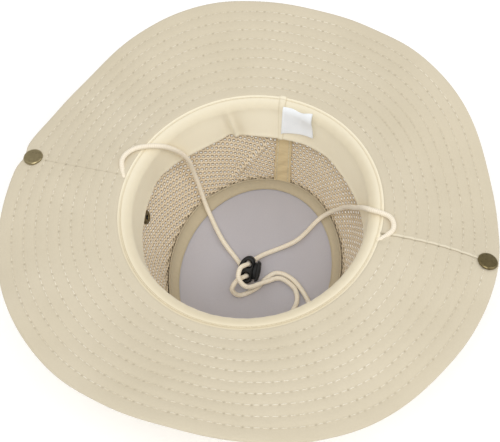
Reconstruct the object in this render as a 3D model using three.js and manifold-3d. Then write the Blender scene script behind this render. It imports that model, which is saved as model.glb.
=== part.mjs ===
// Wide-brim sun hat with a net crown and a chin cord, lying upside down on the flat tip of its crown.
// Millimetres, +Z up. The origin is on the floor under the tip, on the axis of the rim.
// +Y is the wearer's back, -Y the front, +X the wearer's right. Angles go round from +X through +Y.
import * as THREE from "three";
import { mergeVertices } from "three/addons/utils/BufferGeometryUtils.js";
import Module from "manifold-3d";

const wasm = await Module();
wasm.setup();

// Driving dimensions
const clearance = 0.3; // between pieces that touch
const layerGap = 0.6; // level gap between the crown's layers, so that the slanting walls keep the clearance
const cloth = 1.2; // crown and sweatband cloth
const rim = {
  halfWidth: 90, // head opening: an oval 585 mm round
  halfLength: 96,
  height: 92.9,
  fallToBack: 8.3, // the back of the rim lies lower than its middle by this
  riseToRight: 4.9,
};
const tip = {
  halfWidth: 61,
  halfLength: 76.5,
  shiftRight: 6, // the crown leans a little over its tip
  shiftBack: -6.3,
  skirtHeight: 8,
};
const brim = { width: 80, thickness: 2, easeIn: 6, steps: 6 };
const band = { width: 28, steps: 2 }; // cloth band round the outside of the crown, next to the brim
const net = { thickness: 1, tuckedUnder: 7, foot: 4.6, steps: 4 };
const sweatband = { width: 36, flat: 4, rollRadius: 6.5, steps: 6 };
const lining = { thickness: 1, inwards: 4.2 };
const binding = { thickness: 1, inwards: 5.3, top: 9.5 }; // the tape over the seam between net and tip
const strip = { angle: 90, width: 12, thickness: 1, top: 72 };
const label = { angle: 82.6, width: 23, from: 8, length: 22, slant: 4, thickness: 1, lift: 2 };
const snap = {
  capRadius: 6.9,
  capHeight: 2.4,
  postRadius: 1.2,
  socketRadius: 5.4,
  socketHeight: 2.6,
  fromEdge: 7,
  rightAngle: 1.2, // the right snap sits a little behind its seam
};
const stud = { angleFromSide: 4.25, height: 50.5, radius: 5, postRadius: 1.2, flange: 0.9, knob: 2.2 };
const eyelet = { radius: 5, bore: 1.7, height: 0.9 };
const lock = {
  holeSpacing: 9,
  holeRadius: 2.4,
  depth: 9.5, // along the cord holes
  halfWidth: 10.2, // across both holes
  closedEnd: 6.6, // from the holes' line to the closed end
  mouth: 4.2, // and to the end that the button comes out of
  bevel: 0.9,
  socket: { halfWidth: 6.4, depth: 6, end: 5.4 },
  button: {
    halfWidth: 6.1,
    depth: 5.4,
    web: 1.9,
    flange: 1,
    headHalfWidth: 7.6,
    headDepth: 8.6,
    headLength: 3,
  },
  travel: 2,
  place: [1.3, -12, 14.2],
  turn: 4, // degrees round from the picture's level
  tilt: 30, // towards the wearer's front
};
const cord = { diameter: 3.6, sides: 8, stepsPerSpan: 2 };
const roundSides = 52; // steps round the hat

// The chin cord's route: out of the left seam, along the sweatband, down the net, over the lining to the
// lock, round its hanging loop, back through the lock and up to the right seam.
const cordRoute = [
  [-90.5, -2, 85.5], [-96, 11.5, 88.5], [-91, 21.5, 88.5], [-75.5, 29.5, 87], [-62, 39.5, 65.5],
  [-55, 42, 33], [-43, 31, 7], [-24.5, 9.5, 6], [-9.5, -2.5, 4.7],
  [1.4, -13.6, 8], [1.7, -18.2, 15.9], // up through the lock's lower hole
  [-3, -24.4, 18.6], [-5.3, -29.9, 12.9], [0, -29.8, 5.7], [10.7, -20.2, 4.8], [15.3, -10.7, 4.7],
  [21.7, -4.5, 5.1], [34.1, -6.1, 4.8], [51.2, -21.8, 5.1], [58, -38.5, 7.5], [48.8, -47.5, 5.2],
  [40.2, -42, 4.7], [41.8, -21.6, 4.8], [37.5, -13, 4.9], [25.4, -8.8, 6.7], [15.8, -15.9, 9.4],
  [4.6, -27.4, 18.5], [-1.9, -24.5, 24], [-2.6, -17.4, 25.3],
  [1.2, -10.4, 20.4], [0.9, -5.8, 12.5], // down through its upper hole
  [7, 6, 5.5], [29, 25.5, 6], [41.5, 48.5, 7], [57, 46, 35.5], [67.5, 29.5, 70.5],
  [77.5, 16, 97.5], [93, 13, 99], [96.5, 5.5, 98.5], [88.5, -4.5, 95.5],
];

// One row for each 15 degrees: how far the brim slopes up from level, how much its width is drawn in by
// its waves, how far the sweatband leans in from plumb, and how far the crown wall bows out half-way down.
const sections = [
  { angle: 0, brimSlope: -6, brimTrim: 1.2, bandLean: 0, wallBow: 2.5 },
  { angle: 15, brimSlope: -13, brimTrim: 0, bandLean: 5, wallBow: 2 },
  { angle: 30, brimSlope: -11, brimTrim: 0, bandLean: 12, wallBow: 1 },
  { angle: 45, brimSlope: -0.5, brimTrim: 0, bandLean: 15, wallBow: 0 },
  { angle: 60, brimSlope: 3.5, brimTrim: 0, bandLean: 12.5, wallBow: 0 },
  { angle: 75, brimSlope: 2, brimTrim: 0, bandLean: 15.5, wallBow: -1 },
  { angle: 90, brimSlope: 2, brimTrim: 0, bandLean: 21, wallBow: -2 },
  { angle: 105, brimSlope: 5, brimTrim: 0, bandLean: 20, wallBow: -3.5 },
  { angle: 120, brimSlope: 5, brimTrim: 0, bandLean: 10.5, wallBow: -2 },
  { angle: 135, brimSlope: 0, brimTrim: 1.2, bandLean: 19, wallBow: -1 },
  { angle: 150, brimSlope: -9, brimTrim: 1.8, bandLean: 14.5, wallBow: 3 },
  { angle: 165, brimSlope: -11.5, brimTrim: 2, bandLean: 7, wallBow: 2 },
  { angle: 180, brimSlope: -8, brimTrim: 3, bandLean: 11, wallBow: 1.5 },
  { angle: 195, brimSlope: -7, brimTrim: 0.3, bandLean: 12, wallBow: 1 },
  { angle: 210, brimSlope: -3, brimTrim: 0, bandLean: 10, wallBow: 1 },
  { angle: 225, brimSlope: 5, brimTrim: 0, bandLean: 8, wallBow: 1 },
  { angle: 240, brimSlope: 10.5, brimTrim: 0, bandLean: 8, wallBow: 1 },
  { angle: 255, brimSlope: 18, brimTrim: 0, bandLean: 10, wallBow: 1 },
  { angle: 270, brimSlope: 22, brimTrim: 0, bandLean: 12, wallBow: 1 },
  { angle: 285, brimSlope: 18, brimTrim: 0, bandLean: 10, wallBow: 1 },
  { angle: 300, brimSlope: 11, brimTrim: 0.5, bandLean: 8, wallBow: 1 },
  { angle: 315, brimSlope: 4, brimTrim: 1.2, bandLean: 6, wallBow: 1.5 },
  { angle: 330, brimSlope: 4, brimTrim: 2, bandLean: 3, wallBow: 2 },
  { angle: 345, brimSlope: -1, brimTrim: 2, bandLean: 0, wallBow: 2.5 },
];

const up = new THREE.Vector3(0, 0, 1);
const radians = THREE.MathUtils.degToRad;

// A column of the section table at any angle, on a smooth curve through its rows.
function around(column, angle) {
  const place = THREE.MathUtils.euclideanModulo(angle, 360) / (360 / sections.length);
  const row = Math.floor(place);
  const [a, b, c, d] = [-1, 0, 1, 2].map(
    (k) => sections[(row + k + sections.length) % sections.length][column],
  );
  const t = place - row;
  const rise = (c - a) / 2;
  const nextRise = (d - b) / 2;
  return b + t * (rise + t * (3 * (c - b) - 2 * rise - nextRise + t * (2 * (b - c) + rise + nextRise)));
}

// The seam between brim and crown.
function rimPoint(angle) {
  const t = radians(angle);
  return new THREE.Vector3(
    rim.halfWidth * Math.cos(t),
    rim.halfLength * Math.sin(t),
    rim.height - rim.fallToBack * Math.sin(t) + rim.riseToRight * Math.cos(t),
  );
}

// Level, square to the rim, pointing away from the hat's axis.
function outwards(angle) {
  const t = radians(angle);
  return new THREE.Vector3(
    Math.cos(t) / rim.halfWidth,
    Math.sin(t) / rim.halfLength,
    0,
  ).normalize();
}

// The brim's upper face as it lies: reach is measured along the cloth from the rim.
function brimPoint(angle, width) {
  const slope = radians(around("brimSlope", angle));
  const reach = width * (1 - around("brimTrim", angle) / brim.width);
  const level = Math.min(reach, brim.easeIn);
  const eased = level * (1 - level / (2 * brim.easeIn)); // the slope starts level and is full at easeIn
  return rimPoint(angle)
    .addScaledVector(outwards(angle), eased + (reach - eased) * Math.cos(slope))
    .addScaledVector(up, (reach - eased) * Math.sin(slope));
}

// The crown wall between net and cloth band: down is 0 at the rim and 1 at the floor.
function wallPoint(angle, down, offset = 0) {
  const t = radians(angle);
  const top = rimPoint(angle);
  const foot = new THREE.Vector3(
    tip.shiftRight + tip.halfWidth * Math.cos(t),
    tip.shiftBack + tip.halfLength * Math.sin(t),
    0,
  );
  return top
    .lerp(foot, down)
    .addScaledVector(outwards(angle), around("wallBow", angle) * Math.sin(Math.PI * down) + offset);
}

// How far down the wall a height above the floor lies.
function downAt(angle, height) {
  return 1 - height / rimPoint(angle).z;
}

// The sweatband's inner face: flat against the seam, rolled over, then hanging with its lean.
function sweatbandPoint(angle, along) {
  const turn = radians(90 - around("bandLean", angle));
  const onRoll = THREE.MathUtils.clamp((along - sweatband.flat) / sweatband.rollRadius, 0, turn);
  const onFlat = Math.min(along, sweatband.flat);
  const hanging = Math.max(along - sweatband.flat - sweatband.rollRadius * turn, 0);
  const inwards = onFlat + sweatband.rollRadius * Math.sin(onRoll) + hanging * Math.cos(turn);
  const drop = sweatband.rollRadius * (1 - Math.cos(onRoll)) + hanging * Math.sin(turn);
  return rimPoint(angle)
    .addScaledVector(outwards(angle), -clearance - inwards)
    .addScaledVector(up, -drop);
}

// Turns a closed surface face out and merges its corners.
function finished(positions, triangles) {
  const geometry = new THREE.BufferGeometry();
  geometry.setAttribute("position", new THREE.Float32BufferAttribute(positions, 3));
  geometry.setIndex(triangles);
  const merged = mergeVertices(geometry, 1e-4);
  const index = merged.index.array;
  const at = merged.getAttribute("position");
  const [a, b, c] = [0, 1, 2].map(() => new THREE.Vector3());
  const kept = [];
  let volume = 0;
  for (let i = 0; i < index.length; i += 3) {
    const [p, q, r] = [index[i], index[i + 1], index[i + 2]];
    if (p === q || q === r || r === p) continue;
    b.fromBufferAttribute(at, q).cross(c.fromBufferAttribute(at, r));
    volume += a.fromBufferAttribute(at, p).dot(b);
    kept.push([p, q, r]);
  }
  merged.setIndex(kept.flatMap(([p, q, r]) => (volume > 0 ? [p, q, r] : [p, r, q])));
  merged.computeVertexNormals();
  return merged;
}

// A sheet of even thickness: place(u, v) gives one face, and the other lies behind it.
// Both u and v run from 0 to 1, and a closed sheet joins u = 1 to u = 0.
function sheet(place, { along, across, thickness, closed = false }) {
  const columns = closed ? along : along + 1;
  const rows = across + 1;
  const positions = [];
  const back = [];
  const small = 1e-3;
  for (let i = 0; i < columns; i++) {
    for (let j = 0; j < rows; j++) {
      const u = i / along;
      const v = j / across;
      const here = place(u, v);
      const before = closed ? u - small : Math.max(u - small, 0);
      const after = closed ? u + small : Math.min(u + small, 1);
      const alongStep = place(after, Math.max(v, small)).sub(place(before, Math.max(v, small)));
      const acrossStep = place(u, Math.min(v + small, 1)).sub(place(u, Math.max(v - small, 0)));
      const normal = acrossStep.cross(alongStep).normalize();
      positions.push(...here.toArray());
      back.push(...here.addScaledVector(normal, -thickness).toArray());
    }
  }
  const count = columns * rows;
  const at = (i, j) => (i % columns) * rows + j;
  const triangles = [];
  const quad = (a, b, c, d) => triangles.push(a, b, c, a, c, d);
  for (let i = 0; i < along; i++) {
    for (let j = 0; j < across; j++) {
      quad(at(i, j), at(i + 1, j), at(i + 1, j + 1), at(i, j + 1));
      quad(count + at(i, j + 1), count + at(i + 1, j + 1), count + at(i + 1, j), count + at(i, j));
    }
    quad(count + at(i, 0), count + at(i + 1, 0), at(i + 1, 0), at(i, 0));
    quad(at(i, across), at(i + 1, across), count + at(i + 1, across), count + at(i, across));
  }
  if (!closed) {
    for (let j = 0; j < across; j++) {
      quad(at(0, j), at(0, j + 1), count + at(0, j + 1), count + at(0, j));
      quad(at(along, j + 1), at(along, j), count + at(along, j), count + at(along, j + 1));
    }
  }
  return finished([...positions, ...back], triangles);
}

// A point on a chain of places, by the share of the way from the first to the last.
function onChain(places, share) {
  const far = share * (places.length - 1);
  const first = Math.min(Math.floor(far), places.length - 2);
  return places[first].clone().lerp(places[first + 1], far - first);
}

// A turned piece standing on its base along +Z: radii and heights up one side.
function turned(profile, sides = 16) {
  const lathe = new THREE.LatheGeometry(
    profile.map(([radius, height]) => new THREE.Vector2(radius, height)),
    sides,
  );
  lathe.rotateX(Math.PI / 2);
  return finished(Array.from(lathe.getAttribute("position").array), Array.from(lathe.index.array));
}

function solidOf(geometry, matrix = new THREE.Matrix4()) {
  const bare = new THREE.BufferGeometry();
  const source = geometry.index ? geometry.toNonIndexed() : geometry;
  bare.setAttribute("position", source.getAttribute("position").clone());
  bare.applyMatrix4(matrix);
  const merged = mergeVertices(bare, 1e-3);
  return new wasm.Manifold(
    new wasm.Mesh({
      numProp: 3,
      vertProperties: merged.getAttribute("position").array,
      triVerts: new Uint32Array(merged.index.array),
    }),
  );
}

function geometryOf(solid) {
  const mesh = solid.getMesh();
  return finished(Array.from(mesh.vertProperties), Array.from(mesh.triVerts));
}

// The geometry without its tools; crumbs that a cut leaves beside a seam go with it.
function cutOut(geometry, ...tools) {
  const rest = tools.reduce((solid, tool) => solid.subtract(solidOf(tool)), solidOf(geometry));
  return geometryOf(rest.decompose().sort((a, b) => b.volume() - a.volume())[0]);
}

const finish = (color, roughness, metalness = 0) =>
  new THREE.MeshStandardMaterial({ color, roughness, metalness });
const finishes = {
  brimCloth: finish("#d9ceb5", 0.9),
  creamCloth: finish("#ede1c1", 0.85),
  netCloth: finish("#beab90", 0.9),
  greyLining: finish("#aaa29e", 0.8),
  tapeCloth: finish("#a6967a", 0.9),
  labelCloth: finish("#f2f3f3", 0.7),
  cordCotton: finish("#ead9be", 0.85),
  agedBrass: finish("#70644a", 0.4, 0.9),
  blackPlastic: finish("#211d1a", 0.45),
};

const hat = new THREE.Group();

function add(name, geometry, material, parent = hat) {
  const piece = new THREE.Mesh(geometry, finishes[material]);
  piece.name = name;
  parent.add(piece);
  return piece;
}

// Stands a turned piece on a surface: its base at a point, its axis along a direction.
function stand(name, geometry, material, point, direction) {
  const piece = add(name, geometry, material);
  piece.quaternion.setFromUnitVectors(up, direction);
  piece.position.copy(point);
  return piece;
}

// Snap caps on the brim, at both side seams
const sides = [
  { side: "right", angle: snap.rightAngle, studAngle: -stud.angleFromSide },
  { side: "left", angle: 180, studAngle: 180 + stud.angleFromSide },
];

function brimFrame(angle, reach) {
  const along = brimPoint(angle, reach + 1).sub(brimPoint(angle, reach - 1)).normalize();
  const roundSeam = brimPoint(angle + 0.5, reach).sub(brimPoint(angle - 0.5, reach)).normalize();
  return { point: brimPoint(angle, reach), normal: along.cross(roundSeam).normalize() };
}

const snapPlaces = sides.map(({ side, angle }) => ({
  side,
  ...brimFrame(angle, brim.width - snap.fromEdge),
}));

const capProfile = [
  [0, 0],
  [snap.capRadius - 0.5, 0],
  [snap.capRadius, 0.5],
  [snap.capRadius, 1.1],
  [snap.capRadius - 1.1, snap.capHeight - 0.4],
  [snap.capRadius * 0.55, snap.capHeight - 0.1],
  [0, snap.capHeight],
];
const socketProfile = [
  [0, 0],
  [snap.socketRadius, 0],
  [snap.socketRadius, 0.9],
  [snap.socketRadius - 0.9, 1.4],
  [snap.socketRadius - 1.2, snap.socketHeight],
  [2.1, snap.socketHeight],
  [2.1, 1],
  [0, 1],
];
const postHole = ({ point, normal }) =>
  turned([[0, -6], [snap.postRadius + clearance, -6], [snap.postRadius + clearance, 3], [0, 3]], 12)
    .applyQuaternion(new THREE.Quaternion().setFromUnitVectors(up, normal))
    .translate(...point.toArray());

// A curve whose steps follow its points, so that they are close together in its tight bends.
class Route extends THREE.CatmullRomCurve3 {
  getPointAt(share, target) {
    return this.getPoint(share, target);
  }
  getTangentAt(share, target) {
    return this.getTangent(share, target);
  }
}

function tube(points, radius, steps) {
  const section = new THREE.Shape();
  for (let i = 0; i < cord.sides; i++) {
    const t = (2 * Math.PI * i) / cord.sides;
    if (i === 0) section.moveTo(radius, 0);
    else section.lineTo(radius * Math.cos(t), radius * Math.sin(t));
  }
  const extrudePath = new Route(points.map((point) => new THREE.Vector3(...point)));
  const swept = new THREE.ExtrudeGeometry(section, { steps, extrudePath, curveSegments: 1 });
  const positions = Array.from(swept.getAttribute("position").array);
  return finished(positions, [...Array(positions.length / 3).keys()]);
}

// Slots in the side seams that the cord comes out of
const slotPoints = 4;
const slotRadius = cord.diameter / 2 + clearance;
const cordEnds = [cordRoute.slice(0, slotPoints), cordRoute.slice(-slotPoints).reverse()];
const cordSlots = cordEnds.flatMap((points) => [
  tube(points, slotRadius, cord.stepsPerSpan * (slotPoints - 1)),
  turned([[0, -4], [slotRadius, -4], [slotRadius, 6], [0, 6]], 12).translate(...points[0]),
]);

// Brim: two halves that meet at the side seams
const seamGap = 0.1; // degrees that each half keeps clear of the seam
for (const { name, from } of [
  { name: "brim_back", from: 0 },
  { name: "brim_front", from: 180 },
]) {
  const half = sheet(
    (u, v) => brimPoint(from + seamGap + u * (180 - 2 * seamGap), v * brim.width),
    { along: roundSides / 2, across: brim.steps, thickness: brim.thickness },
  );
  add(name, cutOut(half, ...snapPlaces.map(postHole), ...cordSlots), "brimCloth");
}

for (const { side, point, normal } of snapPlaces) {
  const under = point.clone().addScaledVector(normal, -brim.thickness - clearance);
  const post = brim.thickness + clearance;
  const cap = [[0, -post], [snap.postRadius, -post], [snap.postRadius, 0], ...capProfile.slice(1)];
  const over = point.clone().addScaledVector(normal, clearance);
  stand(`snap_cap_${side}`, turned(cap), "agedBrass", over, normal);
  stand(`snap_socket_${side}`, turned(socketProfile), "agedBrass", under, normal.clone().negate());
}

// Crown: a cloth band outside, the net inside it, and the snaps' studs through the net
const baseBand = sheet(
  (u, v) => {
    const angle = 360 * u;
    const top = brim.thickness + 0.9;
    return wallPoint(angle, (top + v * band.width) / rimPoint(angle).z, layerGap + cloth);
  },
  { along: roundSides, across: band.steps, thickness: cloth, closed: true },
);
const netWall = sheet(
  (u, v) => {
    const angle = 360 * u;
    const top = net.tuckedUnder / rimPoint(angle).z;
    return wallPoint(angle, THREE.MathUtils.lerp(top, downAt(angle, net.foot), v));
  },
  { along: roundSides, across: net.steps, thickness: net.thickness, closed: true },
);
const studPlaces = sides.map(({ side, studAngle }) => {
  const down = downAt(studAngle, stud.height);
  const point = wallPoint(studAngle, down);
  const downwards = wallPoint(studAngle, down + 0.01).sub(wallPoint(studAngle, down - 0.01));
  const roundWall = wallPoint(studAngle + 0.5, down).sub(wallPoint(studAngle - 0.5, down));
  return { side, point, normal: downwards.cross(roundWall).normalize() };
});
add("crown_base_band", cutOut(baseBand, ...cordSlots), "brimCloth");
add("crown_net", cutOut(netWall, ...studPlaces.map(postHole)), "netCloth");

for (const { side, point, normal } of studPlaces) {
  const outside = clearance + 0.1;
  const inside = net.thickness + clearance + 0.1;
  const head = [
    [0, -outside - inside - eyelet.height + 0.2],
    [stud.postRadius, -outside - inside - eyelet.height + 0.2],
    [stud.postRadius, 0],
    [stud.radius - 0.3, 0],
    [stud.radius, 0.4],
    [stud.radius - 0.6, stud.flange],
    [2.1, stud.flange],
    [2.4, stud.flange + 0.8 * stud.knob],
    [1.8, stud.flange + stud.knob],
    [0, stud.flange + stud.knob],
  ];
  const ring = [
    [eyelet.bore, 0],
    [eyelet.radius, 0],
    [eyelet.radius, 0.3],
    [eyelet.radius - 0.9, eyelet.height],
    [eyelet.bore + 0.5, eyelet.height],
    [eyelet.bore, 0.5],
    [eyelet.bore, 0],
  ];
  const outer = point.clone().addScaledVector(normal, outside);
  const inner = point.clone().addScaledVector(normal, -inside);
  stand(`crown_stud_${side}`, turned(head), "agedBrass", outer, normal);
  stand(`eyelet_${side}`, turned(ring), "agedBrass", inner, normal.clone().negate());
}

add(
  "sweatband",
  cutOut(
    sheet((u, v) => sweatbandPoint(-360 * u, v * sweatband.width), {
      along: roundSides,
      across: sweatband.steps,
      thickness: cloth,
      closed: true,
    }),
    ...cordSlots,
  ),
  "creamCloth",
);

add(
  "care_label",
  sheet(
    (u, v) => {
      const halfAngle = THREE.MathUtils.radToDeg(label.width / 2 / rim.halfWidth);
      const angle = label.angle + THREE.MathUtils.lerp(halfAngle, -halfAngle, u);
      const along = label.from + v * label.length - u * label.slant;
      const proud = 2.5 * clearance + label.thickness + label.lift * u * u;
      const before = sweatbandPoint(angle, along - 0.1);
      const step = sweatbandPoint(angle, along + 0.1).sub(before);
      const round = sweatbandPoint(angle + 0.5, along).sub(sweatbandPoint(angle - 0.5, along));
      return sweatbandPoint(angle, along).addScaledVector(step.cross(round).normalize(), -proud);
    },
    { along: 6, across: 4, thickness: label.thickness },
  ),
  "labelCloth",
);

// The inside of the tip: level, then turned up round the foot of the wall
function tipPoint(angle, share) {
  const edge = (inwards, height) =>
    wallPoint(angle, 1).addScaledVector(outwards(angle), -inwards).setZ(height);
  const middle = new THREE.Vector3(tip.shiftRight, tip.shiftBack, cloth);
  return onChain(
    [
      middle,
      edge(3.6, cloth),
      edge(1.2, cloth + 0.8),
      wallPoint(angle, downAt(angle, 3.6), layerGap),
      wallPoint(angle, downAt(angle, tip.skirtHeight), layerGap),
    ],
    share,
  );
}

add(
  "crown_tip",
  sheet((u, v) => tipPoint(360 * u, v), { along: roundSides, across: 4, thickness: cloth, closed: true }),
  "brimCloth",
);

const liningTop = cloth + clearance + lining.thickness;

add(
  "tip_lining",
  sheet(
    (u, v) => {
      const edge = wallPoint(360 * u, 1).addScaledVector(outwards(360 * u), -lining.inwards);
      const middle = new THREE.Vector3(tip.shiftRight, tip.shiftBack, 0);
      return middle.lerp(edge, v).setZ(liningTop);
    },
    { along: roundSides, across: 1, thickness: lining.thickness, closed: true },
  ),
  "greyLining",
);

add(
  "tip_binding",
  sheet(
    (u, v) => {
      const angle = 360 * u;
      const overLining = liningTop + clearance + binding.thickness;
      const edge = (inwards, height) =>
        wallPoint(angle, 1).addScaledVector(outwards(angle), -inwards).setZ(height);
      const onNet = -net.thickness - layerGap - binding.thickness;
      return onChain(
        [
          edge(binding.inwards, overLining),
          edge(3.6, overLining + 0.3),
          wallPoint(angle, downAt(angle, 6), onNet - 0.4),
          wallPoint(angle, downAt(angle, binding.top), onNet),
        ],
        v,
      );
    },
    { along: roundSides, across: 3, thickness: binding.thickness, closed: true },
  ),
  "tapeCloth",
);

// Tape over the back seam of the net, from the binding up behind the sweatband
add(
  "back_strip",
  sheet(
    (u, v) => {
      const height = THREE.MathUtils.lerp(binding.top + layerGap, strip.top, u);
      const middle = wallPoint(strip.angle, downAt(strip.angle, height));
      const halfAngle = THREE.MathUtils.radToDeg(strip.width / 2 / (middle.y - 0.35 * tip.shiftBack));
      const angle = strip.angle + THREE.MathUtils.lerp(-halfAngle, halfAngle, v);
      return wallPoint(angle, downAt(angle, height), -net.thickness - layerGap);
    },
    { along: 6, across: 2, thickness: strip.thickness },
  ),
  "tapeCloth",
);

// Cord lock: its own frame has +X out through the button, +Y across the two holes, +Z along them
const lockGroup = new THREE.Group();
lockGroup.position.set(...lock.place);
lockGroup.rotation.set(radians(lock.tilt), 0, radians(lock.turn), "ZXY");
hat.add(lockGroup);

// A flat outline with rounded edges, its thickness centred on the middle plane.
function slab(shape, depth, bevel, curveSegments = 6) {
  return new THREE.ExtrudeGeometry(shape, {
    depth: depth - 2 * bevel,
    bevelThickness: bevel,
    bevelSize: bevel,
    bevelOffset: -bevel,
    bevelSegments: 2,
    curveSegments,
  }).translate(0, 0, bevel - depth / 2);
}

const barrelOutline = new THREE.Shape();
const outlineSteps = 20;
const mouthTurn = Math.acos(0.63); // where the oval is cut off square for the mouth
for (let i = 0; i <= outlineSteps; i++) {
  const t = THREE.MathUtils.lerp(mouthTurn, 2 * Math.PI - mouthTurn, i / outlineSteps);
  const reach = Math.cos(t) < 0 ? lock.closedEnd : lock.mouth / 0.63;
  const point = [reach * Math.cos(t), lock.halfWidth * Math.sin(t)];
  if (i === 0) barrelOutline.moveTo(...point);
  else barrelOutline.lineTo(...point);
}

const box = (from, to) =>
  new THREE.BoxGeometry(...to.map((value, i) => value - from[i])).translate(
    ...to.map((value, i) => (value + from[i]) / 2),
  );
const holeEnd = lock.depth / 2 + 0.5; // the holes widen to rounded mouths
const holeProfile = [
  [0, -holeEnd],
  [lock.holeRadius + 1.4, -holeEnd],
  [lock.holeRadius, 1.4 - holeEnd],
  [lock.holeRadius, holeEnd - 1.4],
  [lock.holeRadius + 1.4, holeEnd],
  [0, holeEnd],
];
const cordHoles = [-1, 1].map((sign) =>
  turned(holeProfile, 14).translate(0, (sign * lock.holeSpacing) / 2, 0),
);
const socketHole = box(
  [-lock.socket.end, -lock.socket.halfWidth, -lock.socket.depth / 2],
  [lock.mouth + 1, lock.socket.halfWidth, lock.socket.depth / 2],
);

add(
  "cord_lock_barrel",
  cutOut(slab(barrelOutline, lock.depth, lock.bevel), socketHole, ...cordHoles),
  "blackPlastic",
  lockGroup,
);

// The button: a web between the two strands, a flange that draws them against the barrel, and a head
const { button } = lock;
const strandEdge = cord.diameter / 2 + clearance;
const headStart = lock.mouth + lock.travel + clearance;
const web = box(
  [-strandEdge - button.flange / 2, -button.web, -button.depth / 2],
  [headStart + 1, button.web, button.depth / 2],
);
const flange = box(
  [-strandEdge - button.flange, -button.halfWidth, -button.depth / 2],
  [-strandEdge, button.halfWidth, button.depth / 2],
);
const shoulder = box(
  [strandEdge + lock.travel + 0.4, -button.halfWidth, -button.depth / 2],
  [headStart + 1, button.halfWidth, button.depth / 2],
);
const [headShoulder, headSide, headCrown] = [0.7, 0.8, 1.2].map(
  (share) => headStart + share * button.headLength,
);
const headHalf = button.headHalfWidth;
const headOutline = new THREE.Shape()
  .moveTo(headStart, -headHalf)
  .lineTo(headStart, headHalf)
  .quadraticCurveTo(headShoulder, headHalf, headSide, headHalf - 1.6)
  .quadraticCurveTo(headCrown, 0, headSide, 1.6 - headHalf)
  .quadraticCurveTo(headShoulder, -headHalf, headStart, -headHalf);
const buttonSolid = [web, flange, shoulder, slab(headOutline, button.headDepth, 0.8, 3)]
  .map((piece) => solidOf(piece))
  .reduce((whole, piece) => whole.add(piece));
add("cord_lock_button", geometryOf(buttonSolid), "blackPlastic", lockGroup);

const cordTube = tube(cordRoute, cord.diameter / 2, (cordRoute.length - 1) * cord.stepsPerSpan);
add("chin_cord", cordTube, "cordCotton");

export default hat;
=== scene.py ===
import bmesh
import bpy
import numpy as np
from mathutils import Matrix


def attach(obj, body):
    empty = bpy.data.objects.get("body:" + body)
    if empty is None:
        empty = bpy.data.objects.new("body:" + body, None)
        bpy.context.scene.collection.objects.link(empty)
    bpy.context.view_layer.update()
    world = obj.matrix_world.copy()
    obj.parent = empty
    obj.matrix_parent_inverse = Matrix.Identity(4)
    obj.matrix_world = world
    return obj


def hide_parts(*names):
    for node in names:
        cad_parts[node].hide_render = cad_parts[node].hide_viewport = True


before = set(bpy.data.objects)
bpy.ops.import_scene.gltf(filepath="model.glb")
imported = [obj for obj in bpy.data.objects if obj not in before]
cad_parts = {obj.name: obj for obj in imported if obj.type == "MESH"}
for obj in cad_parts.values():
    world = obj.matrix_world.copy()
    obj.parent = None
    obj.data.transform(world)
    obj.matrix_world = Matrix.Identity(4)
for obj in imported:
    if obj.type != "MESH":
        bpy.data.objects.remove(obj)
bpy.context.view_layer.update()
metre = 1000.0  # millimetres in one
rng = np.random.default_rng(7)
print("frame loaded:", len(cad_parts), "nodes")

# The hat's form, as in the part's source.
rim = {"halfWidth": 90, "halfLength": 96, "height": 92.9, "fallToBack": 8.3, "riseToRight": 4.9}
tip = {"halfWidth": 61, "halfLength": 76.5, "shiftRight": 6, "shiftBack": -6.3, "skirtHeight": 8}
cloth = {"thickness": 1.2, "gap": 0.3, "layerGap": 0.6}
# One value for each 15 degrees: brim slope and sweatband lean in degrees, and in millimetres how far the
# brim's edge is drawn in and how far the wall bows out
sections = {
    "brimSlope": [-6, -13, -11, -0.5, 3.5, 2, 2, 5, 5, 0, -9, -11.5,
                  -8, -7, -3, 5, 10.5, 18, 22, 18, 11, 4, 4, -1],
    "brimTrim": [1.2, 0, 0, 0, 0, 0, 0, 0, 0, 1.2, 1.8, 2,
                 3, 0.3, 0, 0, 0, 0, 0, 0, 0.5, 1.2, 2, 2],
    "bandLean": [0, 5, 12, 15, 12.5, 15.5, 21, 20, 10.5, 19, 14.5, 7,
                 11, 12, 10, 8, 8, 10, 12, 10, 8, 6, 3, 0],
    "wallBow": [2.5, 2, 1, 0, 0, -1, -2, -3.5, -2, -1, 3, 2,
                1.5, 1, 1, 1, 1, 1, 1, 1, 1, 1.5, 2, 2.5],
}


# A column of the table at any angle: a cubic through its rows, with the slope of its neighbours at each row.
def around(column, angle):
    values = np.array(sections[column], float)
    place = np.mod(angle, 360) / (360 / len(values))
    row = np.floor(place).astype(int)
    t = place - row
    a, b, c, d = (values[(row + k) % len(values)] for k in (-1, 0, 1, 2))
    rise, nextRise = (c - a) / 2, (d - b) / 2
    return b + t * (rise + t * (3 * (c - b) - 2 * rise - nextRise + t * (2 * (b - c) + rise + nextRise)))


# A bell curve: one in the middle, and less by the square of the distance over the width.
def bell(x, width):
    return np.exp(-((x / width) ** 2))


# Angles once round the hat.
def roundHat(count):
    return np.linspace(0, 360, count, endpoint=False)


def vectors(x, y, z):
    return np.stack(np.broadcast_arrays(np.asarray(x, float), y, z), axis=-1)


def unit(v):
    return v / np.maximum(np.linalg.norm(v, axis=-1, keepdims=True), 1e-9)


def distancesAlong(line):
    return np.concatenate([[0], np.cumsum(np.linalg.norm(np.diff(line, axis=0), axis=1))])


# The normal of a surface that is measured round the hat and across: from small steps along both measures. The
# second one is never below nought.
def normalOf(surface, angle, far, step):
    across = surface(angle, far + step) - surface(angle, np.maximum(far - step, 0))
    return unit(np.cross(across, surface(angle + 0.2, far) - surface(angle - 0.2, far)))


# A ring's directions: the first direction turns towards the second one.
def ringOf(turn, first, second):
    return np.cos(turn)[:, None] * first + np.sin(turn)[:, None] * second


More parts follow.
